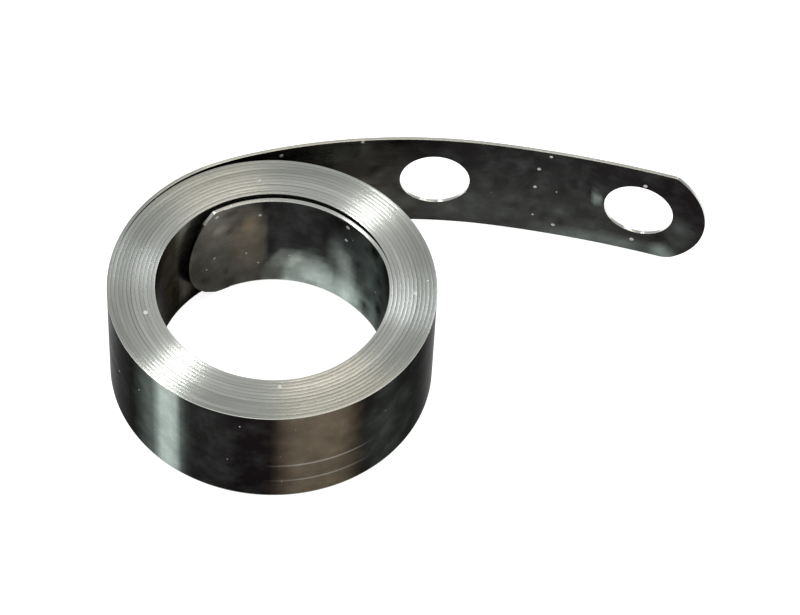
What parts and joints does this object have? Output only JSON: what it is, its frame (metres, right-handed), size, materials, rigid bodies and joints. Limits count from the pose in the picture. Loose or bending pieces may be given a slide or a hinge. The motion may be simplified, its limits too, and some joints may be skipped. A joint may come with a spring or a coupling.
{
  "type": "constant force spring",
  "caption": "Flat steel strip rolled tightly into a ring, with a free arm that leaves it on the outside and has punched holes near its rounded tip; it pulls back with an even force.",
  "frame": {"origin": "the coil's axis at its lower slit edge", "axes": "+Z along the coil's axis, +X the way the free arm points, +Y towards the side on which the arm leaves the coil"},
  "size_m": [0.0745, 0.0457, 0.016],
  "materials": {
    "spring_steel": "dark polished strip faces with bright bare slit edges"
  },
  "bodies": {
    "root": {"spring_strip": "spring_steel"}
  },
  "joints": []
}
